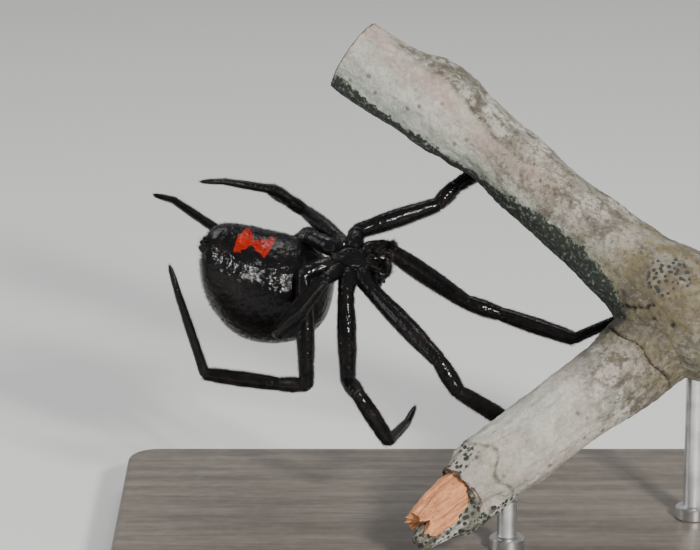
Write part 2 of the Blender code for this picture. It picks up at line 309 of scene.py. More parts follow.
# Front body: a low shield on the back with a raised head, a heart-shaped plate between the legs,
# and a lip and two jaw plates before it, all hard and glossy. The legs' first joints grow from it.
FRONT_BODY = (
    (-1.70, 0.35, 0.20, -0.20), (-1.40, 0.98, 0.52, -0.58), (-0.80, 1.36, 0.74, -0.76),
    (-0.10, 1.48, 0.84, -0.80), (0.55, 1.34, 0.90, -0.80), (1.15, 1.12, 1.02, -0.70),
    (1.62, 1.00, 1.05, -0.50), (2.00, 0.78, 0.74, -0.14),
)
STERNUM = ((-0.24, 0.0, -0.74), (0.98, 0.76, 0.16))
LABIUM = ((0.82, 0.0, -0.76), (0.22, 0.28, 0.14))
ENDITE = ((1.04, 0.34, -0.70), (0.42, 0.22, 0.19))
EYES = ((1.99, 0.17, 0.46), (1.97, 0.53, 0.38), (1.86, 0.19, 0.84), (1.80, 0.60, 0.70))
EYES_LOOK_FROM = (1.2, 0.0, 0.4)
BODY_BACK, BODY_FRONT, BODY_LENGTH = -1.74, 2.04, 3.78
BODY_ROUNDING = 0.22
PIT_AT, PIT_DEPTH = -0.55, 0.16
SOCKET_DEPTH = 0.05
SOCKET_RADIUS = 0.135


def body_rings():
    """Rings of the shield, with its pit and the furrows that fan out from it."""
    half = {}
    for column in (1, 2, 3):
        half[column] = [(section[0], section[column]) for section in FRONT_BODY]
    rows, sides = 44, 48
    rings = []
    for row in range(rows + 1):
        x = BODY_BACK + BODY_LENGTH * row / rows
        width, top, bottom = (between(half[column], x) for column in (1, 2, 3))
        near = min(x - BODY_BACK, BODY_FRONT - x)
        close = math.sqrt(max(1 - (1 - min(near / BODY_ROUNDING, 1.0)) ** 2, 0.003))
        middle = (top + bottom) / 2
        ring = []
        for i in range(sides):
            turn = 2 * math.pi * i / sides
            rise = (top - middle) if math.sin(turn) > 0 else (middle - bottom)
            y, z = width * close * math.cos(turn), rise * close * math.sin(turn)
            if math.sin(turn) > 0:
                pit = PIT_DEPTH * math.exp(-((x - PIT_AT) / 0.16) ** 2 - (y / 0.10) ** 2)
                fan = 0.03 * math.cos(10 * math.atan2(y, x + 0.5))
                fan *= math.exp(-((x + 0.4) / 0.8) ** 2)
                z -= pit + fan * min(abs(y) / 0.4, 1.0)
            ring.append(Vector((x, y, middle + z)))
        rings.append(ring)
    return rings


def ellipsoid_rings(centre, radii, sides=28, rows=20):
    """Rings of an egg shape, from its back to its front, with three half axes."""
    rings = []
    for row in range(rows + 1):
        turn = math.pi * (0.02 + 0.96 * row / rows)
        ring = []
        for i in range(sides):
            a = 2 * math.pi * i / sides
            x = -math.cos(turn) * radii[0]
            y = math.sin(turn) * math.cos(a) * radii[1]
            z = math.sin(turn) * math.sin(a) * radii[2]
            ring.append(Vector((centre[0] + x, centre[1] + y, centre[2] + z)))
        rings.append(ring)
    return rings


AHEAD = (1, 0, 0)
add_shell(body_rings(), (0.52, 0.02, 0.74, 0.30), AHEAD, 0.25, 0.5)
add_shell(ellipsoid_rings(*STERNUM), (0.76, 0.02, 0.86, 0.14), (-1, 0, 0), 0.4, 0.6)
add_shell(ellipsoid_rings(*LABIUM), (0.76, 0.16, 0.79, 0.20), AHEAD, 0.5, 0.6)
for k, sign in enumerate((1, -1)):
    (x, y, z), radii = ENDITE
    strip = (0.80 + 0.05 * k, 0.16, 0.84 + 0.05 * k, 0.20)
    add_shell(ellipsoid_rings((x, sign * y, z), radii), strip, AHEAD, 0.6, 0.7)
for x, y, z in EYES:
    for sign in (1, -1):
        ahead = (Vector((x, sign * y, z)) - Vector(EYES_LOOK_FROM)).normalized()
        socket = Vector((x, sign * y, z)) - ahead * SOCKET_DEPTH
        rings = ellipsoid_rings(socket, (SOCKET_RADIUS,) * 3, 16, 10)
        add_shell(rings, (0.60, 0.14, 0.61, 0.15), AHEAD, 0.0)

# Jaws and palps: two stout, upright jaws under the head, and beside them two short feelers, made
# like small legs, with long bristles. Each is a tube along a curve.
PEDIPALP = (
    ((1.42, 1.08, -1.16), 0.14), ((1.60, 1.16, -1.16), 0.21), ((1.86, 1.16, -1.10), 0.20),
    ((2.04, 1.06, -1.20), 0.20), ((2.08, 0.96, -1.48), 0.18), ((2.02, 0.84, -1.80), 0.16),
    ((1.92, 0.74, -2.06), 0.07),
)
PALP_ROOT = ((1.02, 0.60, -0.62), 0.20)
CHELICERA = (
    ((1.72, 0.38, -0.22), 0.22), ((1.90, 0.38, -0.60), 0.23), ((1.98, 0.40, -0.82), 0.25),
    ((2.00, 0.39, -1.14), 0.24), ((1.98, 0.34, -1.42), 0.18),
)


def curve_through(route, rows):
    """Places on a smooth curve through a route of (point, radius), each with its radius."""
    points = [Vector(p) for p, _ in route]
    radii = [(i / (len(route) - 1), r) for i, (_, r) in enumerate(route)]
    found = []
    for row in range(rows + 1):
        share = row / rows * (len(points) - 1)
        i = min(int(share), len(points) - 2)
        t = share - i
        a, b = points[i], points[i + 1]
        before = points[i - 1] if i else a + (a - b)
        after = points[i + 2] if i + 2 < len(points) else b + (b - a)
        curve = 2 * a + (b - before) * t + (2 * before - 5 * a + 4 * b - after) * t**2
        curve = (curve + (3 * a - before - 3 * b + after) * t**3) / 2
        found.append((curve, between(radii, row / rows)))
    return found


def curved_rings(route, sides, rows, rounded=0.06):
    """Rings along such a curve, with both ends rounded over a share of its rows, or flat."""
    places = curve_through(route, rows)
    rings, across = [], None
    for row, (place, radius) in enumerate(places):
        ahead = (places[min(row + 1, rows)][0] - places[max(row - 1, 0)][0]).normalized()
        across = ahead.orthogonal() if across is None else across - ahead * across.dot(ahead)
        across.normalize()
        up = ahead.cross(across)
        if rounded:
            near = min(row, rows - row) / rows
            radius *= math.sqrt(max(1 - (1 - min(near / rounded, 1.0)) ** 2, 0.01))
        rings.append(circle(place, across, up, radius, sides))
    return rings


def sided(route, side):
    sign = 1 if side == "left" else -1
    return [((x, sign * y, z), radius) for (x, y, z), radius in route]


for k, side in enumerate(("left", "right")):
    u0, u1 = 0.76 + 0.1 * k, 0.84 + 0.1 * k
    rings = curved_rings(sided((PALP_ROOT, *PEDIPALP), side), 16, 40)
    add_shell(rings, (u0, 0.22, u1, 0.28), (0.3, 0, -1), 1.0, 1.3)
    rings = curved_rings(sided(CHELICERA, side), 20, 24)
    add_shell(rings, (u0, 0.30, u1, 0.36), (0, 0, -1), 0.5, 0.8)

# Abdomen: a taut, glossy black globe joined to the front body by a thin waist, its underside with
# a red hourglass, and six short cones that spin silk at its tail end.
ABDOMEN_AT = Vector((-5.28, 0.36, 3.30))
ABDOMEN_ROLL = 13
ABDOMEN_LENGTH = 8.55
ABDOMEN_HEIGHT = 7.25
ABDOMEN_WIDTH = 7.05
ABDOMEN_FULLNESS = 0.39
BACK_ARCH = 0.3
WAIST_DROP = 0.4
TAIL_DROP = 3.5
GROOVE_AT, GROOVE_DEPTH = 2.15, 0.07
LIP_AT, LIP_HEIGHT = 2.32, 0.09
abdomen_roll = Euler((math.radians(ABDOMEN_ROLL), 0, 0)).to_matrix().to_4x4()
abdomen_to_model = to_model @ (Matrix.Translation(ABDOMEN_AT) @ abdomen_roll)


def abdomen_rings():
    """Rings of the globe, with the groove and the lip across its underside near the waist."""
    rows, sides = 90, 96
    half = ABDOMEN_LENGTH / 2
    rings = []
    for row in range(rows + 1):
        x = half * math.cos(math.pi * (0.012 + 0.976 * row / rows))
        reach = abs(x) / half
        share = max(1 - reach**2, 0.0) ** ABDOMEN_FULLNESS
        drop = TAIL_DROP * reach**1.9 if x < 0 else WAIST_DROP * reach**2
        ring = []
        for i in range(sides):
            turn = 2 * math.pi * i / sides
            y = ABDOMEN_WIDTH / 2 * share * math.cos(turn)
            z = BACK_ARCH - drop + ABDOMEN_HEIGHT / 2 * share * math.sin(turn)
            point = Vector((x, y, z))
            if z < 0:
                groove = math.exp(-((x - GROOVE_AT + 0.16 * abs(y)) / 0.09) ** 2)
                point.z += GROOVE_DEPTH * (groove * math.exp(-(y / 1.6) ** 4))
                lip = math.exp(-((x - LIP_AT) / 0.13) ** 2 - (y / 0.42) ** 2)
                point.z -= LIP_HEIGHT * lip
            dent = noise.noise(point * 0.55) * 0.035 + noise.noise(point * 1.7) * 0.012
            middle = Vector((x * 0.4, 0, BACK_ARCH - drop * 0.5))
            point += (point - middle).normalized() * dent
            ring.append(point)
        rings.append(ring)
    return rings


def add_belly(rings, strip, lie, soft=0.0, hair=0.3, long=0.8):
    shells.append(shell(rings, strip, lie, soft, hair, long, abdomen_to_model, marked=True))


add_belly(abdomen_rings(), (0.02, 0.02, 0.50, 0.50), (-1, 0, -0.2))
WAIST = (
    ((2.7, 0.0, -1.8), 0.50), ((2.9, 0.0, -2.1), 0.45), ((3.3, -0.05, -3.1), 0.30),
    ((3.5, -0.08, -3.55), 0.30),
)
add_belly(curved_rings(WAIST, 20, 16), (0.88, 0.02, 0.92, 0.08), AHEAD, soft=0.3, hair=0.0)
LOWER_CONE = (
    ((-3.3, 0.20, -3.7), 0.34), ((-3.95, 0.26, -4.14), 0.26), ((-4.18, 0.23, -4.34), 0.21),
    ((-4.36, 0.17, -4.48), 0.11),
)
UPPER_CONE = (
    ((-3.6, 0.22, -3.2), 0.30), ((-4.12, 0.22, -3.74), 0.21), ((-4.34, 0.19, -3.92), 0.16),
    ((-4.50, 0.13, -4.05), 0.08),
)
TAIL_CONE = (((-3.5, 0.0, -2.8), 0.34), ((-4.12, 0.0, -3.24), 0.22), ((-4.34, 0.0, -3.34), 0.11))
for row, cone in enumerate((LOWER_CONE, UPPER_CONE)):
    for k, side in enumerate(("left", "right")):
        strip = (0.88 + 0.05 * row, 0.09 + 0.05 * k, 0.92 + 0.05 * row, 0.13 + 0.05 * k)
        rings = curved_rings(sided(cone, side), 20, 24, rounded=0.25)
        add_belly(rings, strip, (-1, 0, -0.5), 0.03, 0.8)
rings = curved_rings(TAIL_CONE, 18, 20, rounded=0.25)
add_belly(rings, (0.93, 0.02, 0.97, 0.06), (-1, 0, 0.2), 0.03, 0.8)

# Cuticle: legs, front body, mouthparts and abdomen are one hard black skin without a seam, the
# union of the shells above. It is glossy, finely grained, brown where it is soft at the joints,
# and carries the hourglass under the abdomen.
HOURGLASS = (
    ((-2.27, 0.00), (-2.20, 0.50), (-2.09, 1.10), (-2.00, 1.28)),
    ((-1.82, 1.20), (-1.62, 0.88), (-1.43, 0.52), (-1.28, 0.38)),
    ((-1.19, 0.31), (-1.10, 0.34), (-0.97, 0.44), (-0.75, 0.58)),
    ((-0.52, 0.72), (-0.26, 0.98), (-0.17, 0.92), (-0.08, 0.00)),
)
HOURGLASS_MIDDLE = -1.15
HOURGLASS_SLANT = 0.21
HOURGLASS_SPAN = (-2.4, 0.0)
HOURGLASS_HALF = 1.4
PALE_SPOT = to_model @ Vector((-1.47, 0.04, -0.52)) / MM


def evaluated(thing):
    """The mesh that an object has after its modifiers."""
    depsgraph = bpy.context.evaluated_depsgraph_get()
    return bpy.data.meshes.new_from_object(thing.evaluated_get(depsgraph))


def union(pieces, name):
    """One closed surface from closed pieces that pass through each other."""
    first, *others = pieces
    group = bpy.data.collections.new("pieces")
    bpy.context.scene.collection.children.link(group)
    bpy.context.scene.collection.objects.link(first)
    for other in others:
        group.objects.link(other)
    join = first.modifiers.new("join", "BOOLEAN")
    join.operation, join.operand_type = "UNION", "COLLECTION"
    join.collection, join.solver = group, "MANIFOLD"
    result = evaluated(first)
    for piece in pieces:
        bpy.data.objects.remove(piece)
    bpy.data.collections.remove(group)
    result.name = name
    own = np.empty(len(result.vertices) * 3, np.float32)
    result.attributes["own"].data.foreach_get("vector", own)
    own = own.reshape(-1, 3)
    own[~own.any(axis=1)] = UNMARKED
    result.attributes["own"].data.foreach_set("vector", own.ravel())
    return result


def wire(tree, kind, sockets=None, **settings):
    """A node of a kind with its settings, each socket given a value or joined to an output."""
    made = tree.nodes.new(kind)
    for name, value in settings.items():
        setattr(made, name, value)
    for socket, value in (sockets or {}).items():
        if isinstance(value, bpy.types.NodeSocket):
            tree.links.new(value, made.inputs[socket])
        else:
            made.inputs[socket].default_value = value
    return made


def tree_of(*values):
    """The tree of the first socket among the values."""
    return next(value.id_data for value in values if isinstance(value, bpy.types.NodeSocket))


def maths(operation, *values):
    sockets = dict(enumerate(values))
    return wire(tree_of(*values), "ShaderNodeMath", sockets, operation=operation).outputs[0]


def times(first, second):
    return maths("MULTIPLY", first, second)


def scaled(value, factor, shift):
    return maths("MULTIPLY_ADD", value, factor, shift)


def eased(value, low, high, start=0.0, end=1.0):
    sockets = {0: value, 1: low, 2: high, 3: start, 4: end}
    made = wire(tree_of(value), "ShaderNodeMapRange", sockets, interpolation_type="SMOOTHSTEP")
    return made.outputs[0]


def tinted(share, low, high):
    """Colour between two colours, by a share."""
    sockets = {0: share}
    for number, colour in ((6, low), (7, high)):
        plain = not isinstance(colour, bpy.types.NodeSocket)
        sockets[number] = (*colour, 1.0) if plain else colour
    return wire(tree_of(share), "ShaderNodeMix", sockets, data_type="RGBA").outputs[2]


def cloudy(place, scale, detail=3.0, rough=0.55):
    sockets = {"Vector": place, "Scale": scale, "Detail": detail, "Roughness": rough}
    return wire(tree_of(place), "ShaderNodeTexNoise", sockets).outputs[0]


def dotted(place, scale):
    sockets = {"Vector": place, "Scale": scale}
    return wire(tree_of(place), "ShaderNodeTexVoronoi", sockets).outputs[0]


def stored(tree, name, output="Fac"):
    return wire(tree, "ShaderNodeAttribute", attribute_name=name).outputs[output]


def drawn_out(place, **sockets):
    return wire(place.id_data, "ShaderNodeMapping", {"Vector": place, **sockets}).outputs[0]


def lengthened(vector, size):
    sockets = {0: vector, "Scale": size}
    return wire(vector.id_data, "ShaderNodeVectorMath", sockets, operation="SCALE").outputs[0]


def new_finish(name):
    """A material, its tree, its shader and its places in millimetres."""
    made = bpy.data.materials.new(name)
    made.use_nodes = True
    tree = made.node_tree
    place = wire(tree, "ShaderNodeTexCoord").outputs["Object"]
    return made, tree, tree.nodes["Principled BSDF"], lengthened(place, 1 / MM)


def new_group(name, outputs, **inputs):
    """A shader group and the sockets of its two ends. An input without a value is a place."""
    tree = bpy.data.node_groups.new(name, "ShaderNodeTree")
    for label, value in inputs.items():
        kind = "NodeSocketVector" if value is None else "NodeSocketFloat"
        socket = tree.interface.new_socket(label, in_out="INPUT", socket_type=kind)
        if value is not None:
            socket.default_value = value
    for label in outputs:
        tree.interface.new_socket(label, in_out="OUTPUT", socket_type="NodeSocketFloat")
    ends = [tree.nodes.new(kind) for kind in ("NodeGroupInput", "NodeGroupOutput")]
    return tree, ends[0].outputs, ends[1].inputs


def use_group(tree, group, **sockets):
    return wire(tree, "ShaderNodeGroup", sockets, node_tree=group).outputs


def bumped(height, strength, depth):
    sockets = {"Height": height, "Strength": strength, "Distance": depth * MM}
    return wire(height.id_data, "ShaderNodeBump", sockets).outputs[0]


def finish_with(shader, colour, roughness, normal=None):
    looks = {"Base Color": colour, "Roughness": roughness, "Normal": normal}
    for name, socket in looks.items():
        if socket is not None:
            shader.id_data.links.new(socket, shader.inputs[name])


marking, _, mark_out = new_group("hourglass mark", ("Mask",))
own_place = stored(marking, "own", "Vector")
own = wire(marking, "ShaderNodeSeparateXYZ", {0: own_place}).outputs
aside = maths("SUBTRACT", own[1], HOURGLASS_MIDDLE)
low, high = HOURGLASS_SPAN
sockets = {0: scaled(aside, HOURGLASS_SLANT, own[0]), 1: low, 2: high}
share = wire(marking, "ShaderNodeMapRange", sockets).outputs[0]
edge = wire(marking, "ShaderNodeFloatCurve", {1: share})
line = edge.mapping.curves[0].points
outline = [((x - low) / (high - low), half / HOURGLASS_HALF) for x, half in sum(HOURGLASS, ())]
line[0].location, line[1].location = outline[:2]
for spot in outline[2:]:
    line.new(*spot)
for spot in line:
    spot.handle_type = "AUTO_CLAMPED"
edge.mapping.update()
half = times(edge.outputs[0], HOURGLASS_HALF)
ragged = scaled(cloudy(own_place, 2.8, 6.0, 0.72), 1.5, -0.80)
inside = maths("ADD", maths("SUBTRACT", half, maths("ABSOLUTE", aside)), ragged)
marked = times(eased(inside, -0.02, 0.05), eased(half, 0.01, 0.08))
marked = times(marked, eased(dotted(own_place, 2.6), 0.15, 0.22))
marking.links.new(times(marked, eased(own[2], -0.4, -1.2)), mark_out["Mask"])

sockets = {"Place": None, "Size": 9.0}
grain, grain_in, grain_out = new_group("cuticle grain", ("Height", "Blotch"), **sockets)
fine = cloudy(grain_in["Place"], grain_in["Size"], 2.0)
pores = eased(dotted(grain_in["Place"], times(grain_in["Size"], 0.6)), 0.05, 0.35)
blotch = cloudy(grain_in["Place"], times(grain_in["Size"], 0.12), 4.0)
grain.links.new(scaled(pores, 0.5, fine), grain_out["Height"])
grain.links.new(blotch, grain_out["Blotch"])

cuticle, tree, shader, place = new_finish("black cuticle")
spider_grain = use_group(tree, grain, Place=place, Size=6.5)
blotch = spider_grain["Blotch"]
red = use_group(tree, marking)["Mask"]
soft, hair = stored(tree, "soft"), stored(tree, "hair")
to_spot = {0: place, 1: PALE_SPOT}
spot = wire(tree, "ShaderNodeVectorMath", to_spot, operation="DISTANCE").outputs[1]
colour = tinted(eased(blotch, 0.45, 0.75), (0.0035, 0.0035, 0.004), (0.012, 0.009, 0.008))
colour = tinted(times(soft, 0.8), colour, (0.036, 0.023, 0.015))
colour = tinted(eased(spot, 0.32, 0.22), colour, (0.026, 0.021, 0.013))
scarlet = tinted(eased(blotch, 0.35, 0.65), (0.21, 0.008, 0.004), (0.32, 0.015, 0.006))
netted = scaled(dotted(place, 2.4), eased(hair, 0.35, 0.55, 3.4, 0.0), spider_grain["Height"])
beaded = scaled(cloudy(place, 3.6, 1.0), eased(hair, 0.35, 0.55, 0.6, 3.2), netted)
wrinkle = scaled(cloudy(place, 1.9, 4.0, 0.6), eased(hair, 0.55, 0.35, 2.2, 6.5), beaded)
gloss = scaled(soft, 0.25, scaled(blotch, 0.14, 0.055))
finish_with(shader, tinted(red, colour, scarlet), gloss, bumped(wrinkle, 1.0, 0.013))
shader.inputs["Specular IOR Level"].default_value = 0.19

spider_mesh = union(shells, "spider_skin")
spider_mesh.shade_smooth()
spider_mesh.set_sharp_from_angle(angle=math.radians(38))
spider_mesh.materials.clear()
spider_mesh.materials.append(cuticle)
spider = linked("spider_skin", spider_mesh)
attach(spider, "root")
flesh = [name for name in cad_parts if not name.startswith(("perch_", "stand_"))]
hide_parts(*flesh)

# Eyes: eight clear black beads in two rows across the head, each a hard lens set in a low rim.
# They are too small to show a pupil, and only their gloss parts them from the head.
EYE_RADIUS = 0.12


def bead(mesh, centre, ahead, radius, sides=20, rows=12):
    """A lens, a little flatter towards the head, added to a mesh."""
    across = ahead.orthogonal().normalized()
    up = ahead.cross(across)
    rings = []
    for row in range(1, rows):
        turn = math.pi * row / rows
        depth = -math.cos(turn) * radius * (1.0 if row > rows / 2 else 0.8)
        wide = math.sin(turn) * radius
        rings.append(circle(centre + ahead * depth, across, up, wide, sides))
    close_rings(mesh, rings, centre - ahead * radius * 0.8, centre + ahead * radius)


def close_rings(mesh, rings, first, last):
    """A closed skin over rings of places and a place at each end, added to a mesh."""
    rings = [[mesh.verts.new(place) for place in ring] for ring in rings]
    first, last = mesh.verts.new(first), mesh.verts.new(last)
    count = len(rings[0])
    for i in range(count):
        j = (i + 1) % count
        mesh.faces.new((first, rings[0][j], rings[0][i]))
        mesh.faces.new((last, rings[-1][i], rings[-1][j]))
        for low, high in zip(rings, rings[1:]):
            mesh.faces.new((low[i], low[j], high[j], high[i]))


def placed(mesh, name, finish, turn, sharp=40):
    """A finished piece from a mesh in millimetres, its faces turned outward."""
    bmesh.ops.transform(mesh, matrix=turn, verts=mesh.verts)
    bmesh.ops.recalc_face_normals(mesh, faces=mesh.faces)
    data = bpy.data.meshes.new(name)
    mesh.to_mesh(data)
    mesh.free()
    data.shade_smooth()
    data.set_sharp_from_angle(angle=math.radians(sharp))
    data.materials.append(finish)
    made = linked(name, data)
    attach(made, "root")
    return made


lens, tree, shader, place = new_finish("eye lens")
blotch = use_group(tree, grain, Place=place, Size=20.0)["Blotch"]
depth = tinted(eased(blotch, 0.4, 0.7), (0.006, 0.004, 0.004), (0.030, 0.014, 0.008))
finish_with(shader, depth, scaled(blotch, 0.05, 0.02))
shader.inputs["IOR"].default_value = 1.58
eyes = bmesh.new()
for x, y, z in EYES:
    for sign in (1, -1):
        centre = Vector((x, sign * y, z))
        bead(eyes, centre, (centre - Vector(EYES_LOOK_FROM)).normalized(), EYE_RADIUS)
placed(eyes, "eyes", lens, to_model)

# Fangs and claws: hard, sharp hooks. A fang folds in below each jaw, and each foot ends in two
# curved claws with a smaller one between them.
FANG = (
    ((1.97, 0.34, -1.40), 0.100), ((1.93, 0.28, -1.54), 0.080), ((1.82, 0.22, -1.62), 0.055),
    ((1.68, 0.18, -1.63), 0.030), ((1.56, 0.16, -1.58), 0.006),
)
CLAW_LENGTH = 0.24
CLAW_RADIUS = 0.030
CLAW_BEND = ((0.0, 0.0), (0.45, 0.10), (0.8, 0.35), (0.95, 0.7))


def hook(mesh, route, sides, rows):
    rings = curved_rings(route, sides, rows, rounded=0)
    close_rings(mesh, rings, middle_of(rings[0]), middle_of(rings[-1]))


horn, tree, shader, place = new_finish("dark horn")
horn_grain = use_group(tree, grain, Place=place, Size=14.0)
blotch = horn_grain["Blotch"]
brown = tinted(eased(blotch, 0.35, 0.7), (0.008, 0.005, 0.004), (0.026, 0.011, 0.006))
worn = scaled(blotch, 0.10, 0.10)
finish_with(shader, brown, worn, bumped(horn_grain["Height"], 0.6, 0.002))
hooks = bmesh.new()
for side in ("left", "right"):
    hook(hooks, sided(FANG, side), 14, 20)
for joint, way in leg_tips:
    down = Vector((0, 0, -1))
    down = (down - way * down.dot(way)).normalized()
    across = way.cross(down)
    for aside, size in ((-0.05, 1.0), (0.05, 1.0), (0.0, 0.6)):
        base = joint + way * 0.02 + across * aside - down * 0.02
        route = []
        for number, (ahead, drop) in enumerate(CLAW_BEND):
            offset = way * ahead + down * drop + across * aside * ahead * 2
            radius = CLAW_RADIUS * size * (1 - number / 3.2)
            route.append((base + offset * CLAW_LENGTH * size, radius))
        hook(hooks, route, 8, 8)
placed(hooks, "fangs_and_claws", horn, to_model)

# Bristles: short stiff hairs lean towards the tip of each leg, a close fine coat with longer,
# stouter ones among it, sparse on the abdomen and head. Each grows from the skin with its marks.
BRISTLE_COATS = {
    "fine_bristles_1": (0.072, 0.14, 0.25, 0.0100, 0.70, 0.30, 1, 3),
    "fine_bristles_2": (0.072, 0.16, 0.28, 0.0110, 0.55, 0.34, 1, 17),
    "stout_bristles": (0.19, 0.28, 0.48, 0.0150, 0.62, 0.22, 2, 8),
}
BRISTLE_SIDES = 3
TUFT_PATCH = 0.003
coat = bpy.data.node_groups.new("bristles over a skin", "GeometryNodeTree")
BRISTLE_SIZES = ("Spacing", "Shortest", "Longest", "Thickness", "Lift", "Scatter", "Bends", "Seed")
kinds = {"Skin": "Geometry", **dict.fromkeys(BRISTLE_SIZES, "Float"), "Finish": "Material"}
kinds.update({"Bends": "Int", "Seed": "Int"})
for label, kind in kinds.items():
    coat.interface.new_socket(label, in_out="INPUT", socket_type="NodeSocket" + kind)
coat.interface.new_socket("Bristles", in_out="OUTPUT", socket_type="NodeSocketGeometry")
given = coat.nodes.new("NodeGroupInput").outputs


def step(kind, sockets=None, **settings):
    """First output of a node of the coat."""
    return wire(coat, kind, sockets, **settings).outputs[0]


def kept(name, kind="FLOAT_VECTOR"):
    return step("GeometryNodeInputNamedAttribute", {"Name": name}, data_type=kind)


def vectors(operation, first, second):
    return step("ShaderNodeVectorMath", {0: first, 1: second}, operation=operation)


def at_corners(geometry, name, value):
    sockets = {"Geometry": geometry, "Name": name, "Value": value}
    kind = {"data_type": "FLOAT2", "domain": "CORNER"}
    return step("GeometryNodeStoreNamedAttribute", sockets, **kind)


metres = times(given["Spacing"], MM)
sockets = {
    "Mesh": given["Skin"],
    "Distance Min": metres,
    "Density Max": maths("DIVIDE", 2.0, times(metres, metres)),
    "Density Factor": kept("hair", "FLOAT"),
    "Seed": given["Seed"],
}
scatter = wire(coat, "GeometryNodeDistributePointsOnFaces", sockets, distribute_method="POISSON")
roots = scatter.outputs
least = step("ShaderNodeCombineXYZ", {i: times(given["Scatter"], -1.0) for i in range(3)})
most = step("ShaderNodeCombineXYZ", {i: given["Scatter"] for i in range(3)})
sockets = {0: least, 1: most, "Seed": given["Seed"]}
stray = step("FunctionNodeRandomValue", sockets, data_type="FLOAT_VECTOR")
raised = lengthened(roots["Normal"], given["Lift"])
leaning = vectors("ADD", vectors("ADD", kept("lie"), stray), raised)
turned = step("FunctionNodeAlignRotationToVector", {"Vector": leaning}, axis="Z")
sockets = {2: given["Shortest"], 3: given["Longest"], "Seed": given["Seed"]}
span = wire(coat, "FunctionNodeRandomValue", sockets, data_type="FLOAT").outputs[1]
span = times(times(span, MM), kept("long", "FLOAT"))
thick = times(times(given["Thickness"], MM), kept("long", "FLOAT"))
size = step("ShaderNodeCombineXYZ", {0: thick, 1: thick, 2: span})
sockets = {
    "Vertices": BRISTLE_SIDES,
    "Side Segments": given["Bends"],
    "Radius Top": 0.0,
    "Radius Bottom": 1.0,
    "Depth": 1.0,
}
cone = wire(coat, "GeometryNodeMeshCone", sockets).outputs
patched = at_corners(cone["Mesh"], "patch", cone["UV Map"])
place = step("GeometryNodeInputPosition")
height = wire(coat, "ShaderNodeSeparateXYZ", {0: place}).outputs[2]
bow = step("ShaderNodeCombineXYZ", {0: times(times(height, height), 3.0), 2: -0.08})
bowed = step("GeometryNodeSetPosition", {"Geometry": patched, "Offset": bow})
sockets = {"Points": roots["Points"], "Instance": bowed, "Rotation": turned, "Scale": size}
grown = step("GeometryNodeInstanceOnPoints", sockets)
grown = step("GeometryNodeRealizeInstances", {0: grown})
patch = lengthened(vectors("SUBTRACT", kept("patch"), (0.5, 0.5, 0.0)), TUFT_PATCH)
mapped = at_corners(grown, "OFBake", vectors("ADD", kept("unwrap"), patch))
mapped = step("GeometryNodeRemoveAttribute", {"Geometry": mapped, "Name": "patch"})
smooth = step("GeometryNodeSetShadeSmooth", {"Geometry": mapped})
finished = step("GeometryNodeSetMaterial", {"Geometry": smooth, "Material": given["Finish"]})
coat.links.new(finished, coat.nodes.new("NodeGroupOutput").inputs["Bristles"])

bristle, tree, shader, place = new_finish("black bristle")
shader.inputs["Specular IOR Level"].default_value = 0.3
blotch = use_group(tree, grain, Place=place, Size=12.0)["Blotch"]
shade = tinted(eased(blotch, 0.4, 0.7), (0.006, 0.0055, 0.0055), (0.030, 0.020, 0.014))
red = times(use_group(tree, marking)["Mask"], 0.6)
finish_with(shader, tinted(red, shade, (0.30, 0.02, 0.01)), scaled(blotch, 0.15, 0.16))

items = [item for item in coat.interface.items_tree if item.in_out == "INPUT"]
sockets = {item.name: item.identifier for item in items}
for name, sizes in BRISTLE_COATS.items():
    grower = linked("grower", spider_mesh.copy())
    growth = grower.modifiers.new("bristles", "NODES")
    growth.node_group = coat
    for label, value in zip(BRISTLE_SIZES, sizes):
        growth[sockets[label]] = value
    growth[sockets["Finish"]] = bristle
    data = evaluated(grower)
    bpy.data.objects.remove(grower)
    data.name = name
    hairs = linked(name, data)
    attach(hairs, "root")

# Twig: a cut length of grey branch that widens into the trunk at its right, with a fork that runs
# forward and down. Its bark is thin and patchy, dark with algae along its lower edge, swollen at
# an old knot and cracked round the root of the fork.
BRANCH = (
    ((-5.1, 6.7, 30.5), 2.40), ((-2.1, 5.6, 28.6), 2.45), ((-0.2, 5.0, 27.75), 2.75),
    ((1.0, 4.6, 27.0), 2.70), ((2.1, 4.25, 26.2), 2.38), ((3.6, 3.7, 25.2), 2.28),
    ((5.9, 2.7, 23.3), 2.33), ((8.0, 1.8, 21.6), 2.42), ((10.2, 0.8, 19.9), 2.52),
    ((12.1, -0.1, 18.4), 2.75), ((14.4, -1.0, 16.7), 3.50), ((16.4, -1.4, 15.5), 3.80),
    ((18.1, -1.4, 15.1), 3.70),
)
FORK = (
    ((14.6, -1.6, 14.8), 2.90), ((12.7, -2.2, 13.4), 2.72), ((10.9, -3.3, 12.1), 2.58),
    ((8.9, -4.4, 11.0), 2.35), ((5.7, -6.4, 9.2), 2.33), ((2.9, -8.0, 7.6), 2.25),
    ((1.3, -9.0, 6.6), 2.00),
)
BARK_STRIP = (
    ((3.4, -8.1, 7.0), 1.60), ((1.7, -9.2, 5.6), 1.25), ((0.3, -10.0, 4.9), 0.90),
    ((-0.6, -10.55, 4.5), 0.78), ((-1.35, -11.05, 4.1), 0.52),
)
ALGAE_EDGE = (
    (0.0, 0.64), (6.0, 0.76), (9.5, 0.82), (12.5, 0.68), (16.6, 0.42), (20.0, 0.34), (23.0, 0.55),
    (25.0, 0.90), (29.4, 1.20),
)
KNOT = (5.4, 1.9)
FOLD_LINE = (
    (0.0, -1.05), (3.4, -0.79), (6.3, -0.57), (8.0, -0.44), (10.7, -0.16), (14.0, -0.10),
)
CRACK_AT = 3.05
CROTCH = (12.6, -1.8, 15.2)
SHORT_CRACK = ((11.34, -2.85, 16.62), (12.20, -3.59, 16.70), (13.12, -4.19, 17.05))
HOLES = (((13.20, -4.15, 16.16), 0.20), ((14.32, -4.68, 15.92), 0.21))
